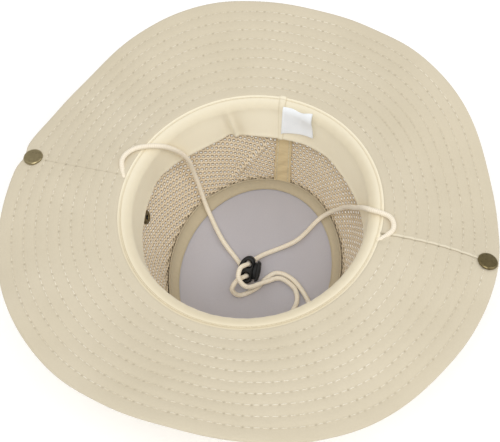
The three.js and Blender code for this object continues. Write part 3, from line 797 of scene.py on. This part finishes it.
# The stitches of the rows show above and below. The offset is from the brim's upper face.
seams = [(reach, start, start + 180) for start in (0, 180) for reach in rowReaches]
for name, offset, face in (("brimStitches", 0, 1), ("brimStitchesUnder", 0.2 - brim["thickness"], -1)):
    sew(
        name, "brim_cloth", sewingThread, brimFrame, seams, brim["stitch"], 0.2, brim["thread"],
        share=0.62, offset=offset, face=face,
    )
print("brim sewn")

# The sweatband: millimetres, and angles in degrees.
sweatband = {
    "round": 585,  # the head's size
    "width": 36,
    "flat": 4,
    "rollRadius": 6.5,
    "thickness": 1.2,
    "lapAngle": 90.85,
    "lapWidth": 4.4,
    "foldAngle": 119,
    "needleLine": 2.2,  # from the rim
    "stitch": 3.2,
    "thread": 0.2,
    "cordHoles": ((-90.6, -0.5), (89.0, -4.4)),
    "cordDip": 1.4,
    "columns": 440,
}


# The band's inner face: flat at the seam, rolled over, then hanging with its lean.
def sweatbandPoint(angle, along):
    flat, radius = sweatband["flat"], sweatband["rollRadius"]
    turn = np.radians(90 - around("bandLean", angle))
    onRoll = np.clip((along - flat) / radius, 0, turn)
    hanging = np.maximum(along - flat - radius * turn, 0)
    inwards = np.minimum(along, flat) + radius * np.sin(onRoll) + hanging * np.cos(turn)
    drop = radius * (1 - np.cos(onRoll)) + hanging * np.sin(turn)
    sideways = outwards(angle) * (cloth["gap"] + inwards)[..., None]
    return rimPoint(angle) - sideways - vectors(0, 0, 1) * drop[..., None]


# A point of the band's face and the normal there.
def sweatbandFrame(angle, along):
    return sweatbandPoint(angle, along), -normalOf(sweatbandPoint, angle, along, 0.3)


# Distance round the band from the lap's right edge, and the lap's width: both edges run a little aslant.
def lapPlace(angle, along):
    share = along / sweatband["width"]
    past = (angle - sweatband["lapAngle"] + 2.1 * share) / 360
    return past * sweatband["round"], sweatband["lapWidth"] - 1.1 * share


# Degrees past the soft fold, which slants, and how strong the fold is: it fades out towards the roll.
def foldPlace(angle, share):
    return angle - (sweatband["foldAngle"] + 2.8 - 5.8 * share), np.clip(share * 1.6 - 0.25, 0, 1)


# Relief of the band: a lap at the back, one soft fold, faint gathers on the roll and a hem at the free edge.
def sweatbandRelief(angle, along):
    share = along / sweatband["width"]
    toLap, lapWidth = lapPlace(angle, along)
    lapEdges = 1 / (1 + np.exp(-(toLap + 0.4) / 0.25)) - 1 / (1 + np.exp(-(toLap - lapWidth) / 0.4))
    past, strong = foldPlace(angle, share)
    fold = 2.3 * bell(past, 1.3) - 1.3 * bell(past - 3.2, 2.6)
    fold = (fold + 0.9 * bell(past - 9, 5)) * strong
    gathers = 0.1 * np.sin(np.radians(angle) * 61 + 3 * share) * bell(along - 9, 5)
    gathers = gathers + 0.12 * np.sin(np.radians(angle) * 23 + 2 + 4 * share) * share
    hem = 0.25 * bell(along - sweatband["width"] + 1.2, 1.1)
    return 0.75 * lapEdges + fold + gathers + hem


# How dark the band's face is: painted shade in bell curves along its needle line, its edges, its lap and its
# fold. The roll has painted shade too, most at its right and in front, and so has the hanging part at both
# sides.
def sweatbandShade(angle, along):
    toLap, lapWidth = lapPlace(angle, along)
    past, strong = foldPlace(angle, along / sweatband["width"])
    shade = 0.35 * bell(along - sweatband["needleLine"], 0.5) + 0.2 * bell(along, 0.4)
    shade = shade + 0.45 * bell(toLap + 0.7, 0.35) + 0.25 * bell(toLap - lapWidth - 0.3, 0.35)
    atFront = np.clip(-np.sin(np.radians(angle)), 0, 1)
    atRight = bell(np.mod(angle + 150, 360) - 180, 55)
    atSides = 1 - bell(np.mod(angle, 360) - 95, 45)
    shade = shade + (0.3 + 0.12 * atRight) * bell(along - 8, 5.5) + 0.28 * atFront * bell(along - 5, 3.5)
    shade = shade + 0.35 * np.clip(1.5 * atFront, 0, 1) * np.clip((3 - along) / 0.8, 0, 1)
    shade = shade + 0.18 * atSides * np.clip((along - 10) / 6, 0, 1)
    return shade + 0.25 * bell(past + 3.4, 3) * strong


# The band, and its needle line, which is drawn down with the places where the cord comes through.
def makeSweatband():
    angles = [roundHat(sweatband["columns"]), np.linspace(88, 94.5, 40)]
    edge = sweatband["width"]
    alongs = [np.arange(5) * 0.8, np.linspace(sweatband["flat"], 15, 18), np.linspace(16, edge - 1, 22)]
    alongs += [[edge - 0.4, edge]]
    angle, along = np.meshgrid(np.unique(np.concatenate(angles)), np.concatenate(alongs), indexing="ij")
    point, normal = sweatbandFrame(angle, along)
    dip = cordDips(point, sweatband["cordHoles"], sweatband["cordDip"])
    dip = dip - 0.35 * bell(along - sweatband["needleLine"], 0.7)
    top = point + normal * (sweatbandRelief(angle, along) + dip)[..., None]
    bottom = point - normal * sweatband["thickness"]
    masks = {"shade": sweatbandShade(angle, along)}
    clothPiece("sweatbandCloth", "sweatband_cloth", sweatCotton, "sweatband", top, bottom, True, masks)
    seams = [(sweatband["needleLine"], 0, 360)]
    sew(
        "sweatbandStitches", "sweatband_cloth", paleThread, sweatbandFrame, seams,
        sweatband["stitch"], 0.08, sweatband["thread"],
    )


makeSweatband()
print("sweatband rolled")

# The care label on the sweatband: millimetres, and its angle in degrees.
label = {"angle": 82.6, "width": 25.4, "from": 8, "length": 22, "slant": 6.8, "thickness": 0.5, "lift": 2}


# The label follows the band. Its free side lifts by the square of the share u across it, and curls by sines.
def makeLabel():
    u, v = np.meshgrid(np.linspace(0, 1, 40), np.linspace(0, 1, 36), indexing="ij")
    half = np.degrees(label["width"] / 2 / rim["halfWidth"])
    angle = label["angle"] + half - 2 * half * u * (1 + 0.2 * v) - 1.1 * v
    dip = 1.5 * bell(u - 0.62, 0.24) - 1.2 * u
    along = label["from"] + v * label["length"] - u * label["slant"] * v + dip * (1 - v)
    point, normal = sweatbandFrame(angle, along)
    curl = label["lift"] * u**2 + 0.5 * np.sin(6 * v + 1) * u + 0.25 * np.sin(9 * u) * (1 - v)
    relief = sweatbandRelief(angle, along)
    top = point + normal * (relief + cloth["layerGap"] + label["thickness"] + curl)[..., None]
    bottom = top - normal * label["thickness"]
    clothPiece("labelCloth", "label_cloth", labelCloth, "care_label", top, bottom, False)


makeLabel()

# The cloth band round the foot of the crown. Its seams are at distances down from the rim.
baseBand = {"from": 2.9, "width": 28, "seams": (5.5, 26.5), "stitch": 3.6, "thread": 0.22, "columns": 420}


# A point of the band's inner side and the normal there, at a distance down from the rim.
def baseBandFrame(angle, far):
    return wallFrame(angle, far / rimPoint(angle)[..., 2], cloth["layerGap"] + cloth["thickness"])


# The band stands up between its two seams, waves by sines of the angle and has a hem at its lower edge.
def makeBaseBand():
    seams = np.array(baseBand["seams"])
    end = baseBand["from"] + baseBand["width"]
    besideSeams = (seams[:, None] + np.array([-1, -0.5, 0, 0.5, 1])).ravel()
    fars = np.unique(np.concatenate([np.linspace(baseBand["from"], end, 24), besideSeams]))
    angle, far = np.meshgrid(roundHat(baseBand["columns"]), fars, indexing="ij")
    point, normal = baseBandFrame(angle, far)
    near = np.abs(far[..., None] - seams).min(-1)
    t = np.radians(angle)
    wave = 0.25 * np.sin(9 * t + far / 9) + 0.15 * np.sin(21 * t - far / 6)
    relief = 0.22 * (1 - bell(near, 1.0)) + wave * np.clip((far - 4) / 20, 0, 1)
    hem = 0.3 * bell(far - end + 1.3, 1.2)
    top = point + normal * (relief + hem)[..., None]
    bottom = point - normal * cloth["thickness"]
    # painted shade in the grooves along both seams
    masks = {"shade": 0.35 * bell(near, 0.5)}
    clothPiece("baseBandCloth", "brim_cloth", bandCanvas, "crown_base_band", top, bottom, True, masks)
    sew(
        "baseBandStitches", "brim_cloth", sewingThread, baseBandFrame, [(seam, 0, 360) for seam in seams],
        baseBand["stitch"], 0.16, baseBand["thread"],
    )


makeBaseBand()
print("base band sewn")

# The knitted net: millimetres, unless said.
net = {
    "thickness": 1,  # of the solid, which the strands lie in
    "top": 7,  # below the rim
    "foot": 4.6,  # above the floor
    "height": 84.4,  # along the wall
    "row": (3.3, -1.5),  # from a cell to the next in its row: round the hat, and down
    "column": (-0.8, 5.0),  # and to the next row
    "rows": 80,  # more than its height needs
    "turn": (170, 51),  # rows and columns that take one cell back to itself, round the hat
    "middle": -0.5,
    "strand": 0.42,
    "knot": 0.1,
    "cell": (1.9, 2.1),  # half its length along the row, and across
    "hole": (1.0, 0.8),  # half its length along the row, and across
    "unevenStrand": 0.02,
    "unevenHole": 0.05,
    "edge": 1.5,  # no middle of a cell is nearer to the net's edge
}
netSteps = np.array([net["row"], net["column"]])
circuit = (np.array(net["turn"]) @ netSteps)[0]  # once round the hat
# The places round a cell, in sixths of its steps: the middle of a side and the corner after it, six times.
cellPlaces = np.array(
    [(3, 0), (4, 2), (3, 3), (2, 4), (0, 3), (-2, 2), (-3, 0), (-4, -2), (-3, -3), (-2, -4), (0, -3), (2, -2)]
)


# Folds of the soft net: a corner beside the left panel, and a slanting ridge low in the back panel.
def netFold(angle, y):
    window = np.clip(np.minimum(y - 24, net["height"] - 6 - y) / 14, 0, 1)
    corner = 1.5 * np.exp(-np.abs(angle - 149) / 3.2)
    slant = ((angle - 97) * 1.45 - (y - 33) * 0.967) / 1.39
    ridge = -2.7 * bell(slant, 2.1) * np.clip((angle - 95) / 6, 0, 1) * np.clip((135 - angle) / 12, 0, 1)
    soft = 0.5 * np.sin(np.radians(angle) * 7 + y / 14) * np.clip(np.abs(angle - 90) / 20 - 0.4, 0, 1)
    return window * (corner + ridge + soft)


# A place in the net: how far round the hat and down the wall, from there, and out from the wall.
def netPlace(flat, offset):
    angle = flat[..., 0] * 360 / circuit
    y = np.clip(flat[..., 1], 0, net["height"])
    topDown = net["top"] / rimPoint(angle)[..., 2]
    down = topDown + (downAt(angle, net["foot"]) - topDown) * y / net["height"]
    return wallPoint(angle, down, offset + netFold(np.mod(angle, 360), y))


# The middles of the cells, the places round them that cells share, and for each cell the numbers of its own.
# The lattice closes on itself round the hat, so the first column is met again there.
def netLattice():
    inRow = net["turn"][0]
    cell = np.meshgrid(np.arange(inRow), np.arange(net["rows"]), indexing="ij")
    cell = np.stack(cell, axis=-1).reshape(-1, 2)
    down = (cell @ netSteps)[:, 1]
    cell = cell[(down > net["edge"]) & (down < net["height"] - net["edge"])]
    shared = cell[:, None] * 6 + cellPlaces
    turns = np.floor_divide(shared[..., 0], 6 * inRow)
    shared = shared - 6 * turns[..., None] * net["turn"]
    places, index = np.unique(shared.reshape(-1, 2), axis=0, return_inverse=True)
    return cell @ netSteps, places @ netSteps / 6, index.reshape(-1, 12)


# The net's cells. Strands fall from the places round a cell to a round hole in it, an ellipse along its row.
def makeNet():
    middles, flat, index = netLattice()
    isKnot = np.zeros(len(flat))
    isKnot[index[:, 1::2]] = 1
    half = net["strand"] / 2 + net["knot"] * isKnot + rng.normal(0, net["unevenStrand"], len(flat))
    faces = [netPlace(flat, net["middle"] + side * half) for side in (-1, 1)]
    alongRow = netSteps[0] / np.linalg.norm(netSteps[0])
    acrossRow = np.array([-alongRow[1], alongRow[0]])
    spread = cellPlaces @ netSteps / 6
    turn = np.arctan2(spread @ acrossRow / net["cell"][1], spread @ alongRow / net["cell"][0])
    ellipse = ringOf(turn, net["hole"][0] * alongRow, net["hole"][1] * acrossRow)
    holes = middles[:, None] + ellipse * rng.normal(1, net["unevenHole"], (len(middles), 1, 1))
    waist = netPlace(holes, net["middle"]).reshape(-1, 3)
    count = len(flat)
    inHole = 2 * count + np.arange(len(waist)).reshape(-1, 12)
    after = np.roll(np.arange(12), -1)
    inner = [index, index[:, after], inHole[:, after], inHole]
    outer = [count + index, inHole, inHole[:, after], count + index[:, after]]
    # a side that only one cell has is on the net's edge, and is closed between its two faces
    a, b = index.ravel(), index[:, after].ravel()
    _, first, uses = np.unique(
        np.minimum(a, b) * count + np.maximum(a, b), return_index=True, return_counts=True
    )
    a, b = a[first[uses == 1]], b[first[uses == 1]]
    closing = [b, a, count + a, count + b]
    quads = np.concatenate([np.stack(face, axis=-1).reshape(-1, 4) for face in (inner, outer, closing)])
    # the relief mask is low at the holes' edges, where the material paints shade
    relief = np.concatenate([0.8 + 0.2 * isKnot, 0.8 + 0.2 * isKnot, np.full(len(waist), 0.2)])
    mesh = quadMesh("netCloth", np.concatenate([*faces, waist]), quads, None, {"relief": relief})
    newPiece(mesh, "crown_net", knitNet, "crown_net")


makeNet()
print("net knitted")


# A chain of places, rounded by two rounds of corner cutting, as rows of a ring piece.
def ringRows(places, rounds=2):
    chain = np.stack(places, axis=1)
    for _ in range(rounds):
        near = chain[:, :-1] * 0.75 + chain[:, 1:] * 0.25
        far = chain[:, :-1] * 0.25 + chain[:, 1:] * 0.75
        middle = np.stack([near, far], axis=2).reshape(len(chain), -1, 3)
        chain = np.concatenate([chain[:, :1], middle, chain[:, -1:]], axis=1)
    return chain


crownTip = {"thickness": 1.2, "bend": 3.6, "columns": 300}
lining = {"thickness": 1, "inwards": 4.2, "top": 2.5, "columns": 240}
binding = {"thickness": 1, "inwards": 5.3, "top": 9.5, "columns": 420}


# A ring in from the foot of the wall, at a height.
def footEdge(angle, inwards, height):
    point = wallPoint(angle, np.ones_like(angle)) - outwards(angle) * inwards
    point[..., 2] = height
    return point


# The middle of the tip at a height, once for each angle.
def tipMiddle(angle, height):
    return np.broadcast_to([tip["shiftRight"], tip["shiftBack"], height], (len(angle), 3))


# A point of the wall at a height.
def wallAt(angle, height, offset):
    return wallPoint(angle, downAt(angle, height), offset)


# The tip: level, then turned up round the foot of the wall. Its thickness lies outside, where a sine of the
# angle puckers it.
def makeTip():
    angle = roundHat(crownTip["columns"])
    thick = crownTip["thickness"]
    middle, level = tipMiddle(angle, thick), footEdge(angle, crownTip["bend"], thick)
    places = [middle * (1 - s) + level * s for s in (0, 0.3, 0.6, 0.9, 1)]
    places += [footEdge(angle, 1.2, thick + 0.8)]
    places += [wallAt(angle, height, cloth["layerGap"]) for height in (crownTip["bend"], tip["skirtHeight"])]
    top = ringRows(places)
    normal = gridNormals(top, True)
    normal = normal * np.sign(normal[:, 2:3, 2:3])  # up, in the middle
    normal[:, 0] = (0, 0, 1)
    fromEdge = top.shape[1] - 6 - np.arange(top.shape[1])
    pucker = 0.12 * np.sin(70 * np.radians(angle))[:, None] * bell(fromEdge, 3.0)
    bottom = top - normal * (thick + np.maximum(pucker, 0))[..., None]
    bottom[..., 2] = np.maximum(bottom[..., 2], 0)
    bottom[:, 0] = bottom[:1, 0]
    clothPiece("tipCloth", "brim_cloth", bandCanvas, "crown_tip", top, bottom, True, disc=True)


makeTip()


# The lining: a disc with soft creases, two low sines across each other and a ring where it meets the tape.
def makeLining():
    angle = roundHat(lining["columns"])
    middle, edge = tipMiddle(angle, lining["top"]), footEdge(angle, lining["inwards"], lining["top"])
    share = np.concatenate([[0], np.linspace(0.03, 1, 44)])[:, None]
    top = middle[:, None] * (1 - share) + edge[:, None] * share
    x, y = top[..., 0], top[..., 1]
    crease = 0.22 * np.sin(x / 9 + 0.6 * np.sin(y / 17)) * np.sin(y / 13 + 0.8) + 0.12 * np.sin((x + y) / 5.2)
    top[..., 2] += crease * np.clip((1 - share[:, 0]) * 6, 0, 1) - 0.1
    bottom = top.copy()
    bottom[..., 2] = lining["top"] - lining["thickness"]
    clothPiece("liningDisc", "tip_lining", liningCloth, "tip_lining", top, bottom, True, disc=True)


makeLining()


# The binding tape: from the lining up round the foot of the net, puckered by its two rows of stitches.
def makeBinding():
    angle = roundHat(binding["columns"])
    over = lining["top"] + cloth["gap"] + binding["thickness"]
    onNet = -net["thickness"] - cloth["layerGap"] - binding["thickness"]
    top = ringRows([
        footEdge(angle, binding["inwards"], over),
        footEdge(angle, crownTip["bend"], over + 0.3),
        wallAt(angle, 6, onNet - 0.4),
        wallAt(angle, binding["top"], onNet),
    ])
    normal = gridNormals(top, True)
    normal = normal * np.sign(normal[:, :1, 2:3])
    share = np.linspace(0, 1, top.shape[1])
    t = np.radians(angle)[:, None]
    puckers = 0.12 * np.sin(95 * t + 3 * share) * np.sin(np.pi * share) + 0.1 * np.sin(37 * t)
    rowsOfStitch = bell(share - 0.12, 0.05) + bell(share - 0.88, 0.05) + 0 * t
    bottom = top - normal * binding["thickness"]
    top = top + normal * (puckers - 0.12 * rowsOfStitch)[..., None]
    # painted shade along the two sunk rows of stitches
    masks = {"shade": 0.3 * rowsOfStitch}
    clothPiece("bindingTape", "binding_tape", tapeCloth, "tip_binding", top, bottom, True, masks)


makeBinding()

# The tape over the net's back seam: millimetres, and its angle in degrees.
strip = {
    "angle": 90,
    "width": 12,
    "thickness": 1,
    "bottom": 10.1,
    "top": 72,
    "seams": 0.74,  # share of half its width at which its stitches run
    "stitch": 3.4,
    "thread": 0.2,
}


# A point of the tape and the normal there. The tape spreads towards its foot.
def stripFrame(height, across):
    middle = wallAt(np.full_like(height, strip["angle"]), height, 0.0)
    half = np.degrees(strip["width"] / 2 / (middle[..., 1] - 0.35 * tip["shiftBack"]))
    flare = np.clip(1 - (height - strip["bottom"]) / 55, 0, 1)
    angle = strip["angle"] + half * (across * (1 + 0.24 * flare) + 0.08 * flare)

    def surface(angle, height):
        return wallAt(angle, height, -net["thickness"] - cloth["layerGap"])

    return surface(angle, height), normalOf(surface, angle, height, 0.3)


# The tape's relief: creases and one fold, which are sines and bell curves of the places along and across it.
def makeStrip():
    heights = np.linspace(strip["bottom"], strip["top"], 90)
    height, across = np.meshgrid(heights, np.linspace(-1, 1, 25), indexing="ij")
    point, normal = stripFrame(height, across)
    seam = bell(np.abs(across) - strip["seams"], 0.07)
    creases = np.sin(height * 0.62 + 2.4 * across + 1) * (1 - across**2) * bell(height - 24, 16)
    fold = 0.4 * bell(across - 0.9, 0.07)
    relief = 0.1 * np.sin(height * 1.9) * (1 - across**2) + 0.35 * creases + fold - 0.15 * seam + 0.1
    top = point + normal * (strip["thickness"] + relief)[..., None]
    # painted shade along the sunk seams
    masks = {"shade": 0.35 * seam}
    clothPiece("stripTape", "binding_tape", stripCloth, "back_strip", top, point, False, masks)
    seams = [(side * strip["seams"], strip["bottom"] + 0.6, strip["top"] - 0.6) for side in (-1, 1)]
    sew(
        "stripStitches", "binding_tape", sewingThread, stripFrame, seams,
        strip["stitch"], 0.1, strip["thread"], offset=strip["thickness"],
    )


makeStrip()
print("crown lined and bound")

# The snaps: millimetres, and angles in degrees. A profile is a chain of radii and heights.
snap = {"fromEdge": 7, "rightAngle": 1.2, "leftAngle": 180}
stud = {"angleFromSide": 4.25, "height": 50.5, "clearance": 0.1}
capProfile = softened(
    [(0, -0.1), (6.3, -0.1), (6.9, 0.45), (6.9, 1.1), (6.6, 1.5), (5.9, 1.95), (5.3, 2.0), (3.2, 2.2)]
    + [(1.2, 2.38), (0, 2.4)]
)
socketProfile = softened(
    [(0, -0.1), (5.4, -0.1), (5.4, 0.9), (4.5, 1.4), (4.2, 2.6), (2.1, 2.6), (2.1, 1.0), (0, 1.0)], 0.15
)
studProfile = softened(
    [(0, -0.1), (4.7, -0.1), (5.0, 0.4), (4.4, 0.9), (2.1, 0.9), (2.4, 2.6), (1.8, 3.1), (0, 3.1)], 0.15
)
ringProfile = [(1.7, 0.4), (1.7, 0), (5.0, 0), (5.0, 0.35), (4.7, 0.62), (4.1, 0.86), (3.3, 0.9), (2.5, 0.86)]
ringProfile += [(1.95, 0.68), (1.7, 0.4)]
# Painted shade inside the ring: a black cup where the eyelet's hollow round the stud's post lies in shadow.
shadowCupProfile = [(0, -0.3), (1.9, -0.3), (1.9, 0.3), (1.6, 0.35), (1.3, -0.1), (0, -0.15)]


# The pieces of one side. Each is a profile turned about the normal of the brim or of the wall.
def makeSnaps(side, angle, studAngle, capBrass):
    reach = np.array([float(brim["width"] - snap["fromEdge"])])
    angle, studAngle = np.array([angle]), np.array([studAngle])
    flat, up = brimPoint(angle, reach)[0], brimFrame(angle, reach)[1][0]
    wall, out = (v[0] for v in wallFrame(studAngle, downAt(studAngle, stud["height"])))
    under = flat - up * (brim["thickness"] + cloth["gap"])
    outside = wall + out * (cloth["gap"] + stud["clearance"])
    inside = wall - out * (net["thickness"] + cloth["gap"] + stud["clearance"])
    for name, profile, place, normal, sides, material, covers in (
        ("snapCap.", capProfile, flat + up * cloth["gap"], up, 56, capBrass, ["snap_cap_" + side]),
        ("snapSocket.", socketProfile, under, -up, 48, agedBrass, ["snap_socket_" + side]),
        ("crownStud.", studProfile, outside, out, 48, agedBrass, ["crown_stud_" + side]),
        ("eyelet.", ringProfile, inside, -out, 48, agedBrass, ["eyelet_" + side]),
        ("eyeletShadowCup.", shadowCupProfile, inside, -out, 32, lockPlastic, []),
    ):
        newPiece(turnedMesh(name + side, profile, place, normal, sides), "aged_brass", material, *covers)


makeSnaps("right", snap["rightAngle"], -stud["angleFromSide"], agedBrass)
# the left cap takes the lighter brass: painted reflection
makeSnaps("left", snap["leftAngle"], 180 + stud["angleFromSide"], paintedReflectionBrass)
print("snaps set")

# The floor and the lights, in metres and watts. A lamp has its place, size and power.
studio = {"floorSize": 4.0, "floorGlow": 0.16, "world": 0.6, "aimHeight": 0.06}
lamps = {
    "keyLight": ((0.1, -0.7, 1.65), 1.0, 12.5),
    "fillLight": ((1.25, 0.25, 1.2), 1.2, 5.0),
    "leftLight": ((-1.2, 0.1, 1.3), 1.0, 1.5),
}


def makeFloor():
    size = studio["floorSize"] / 2
    mesh = bpy.data.meshes.new("floor")
    corners = [(-size, -size, 0), (size, -size, 0), (size, size, 0), (-size, size, 0)]
    mesh.from_pydata(corners, [], [(0, 1, 2, 3)])
    material, _, inputs = newMaterial("floorWhite", 0.9)
    inputs["Base Color"].default_value = (0.96, 0.96, 0.96, 1)
    inputs["Emission Color"].default_value = (1, 1, 1, 1)
    inputs["Emission Strength"].default_value = studio["floorGlow"]
    mesh.materials.append(material)
    newObject("floor", mesh)


def makeLights():
    bpy.context.scene.view_settings.view_transform = "Standard"
    world = bpy.data.worlds.new("world")
    bpy.context.scene.world = world
    world.use_nodes = True
    background = world.node_tree.nodes["Background"].inputs
    background["Color"].default_value = (1.0, 0.99, 0.975, 1)
    background["Strength"].default_value = studio["world"]
    for name, (place, size, power) in lamps.items():
        light = bpy.data.lights.new(name, "AREA")
        light.energy = power
        light.size = size
        aim(newObject(name, light), place, unit(np.array(place) - np.array([0, 0, studio["aimHeight"]])))


makeFloor()
makeLights()
print("scene ready")
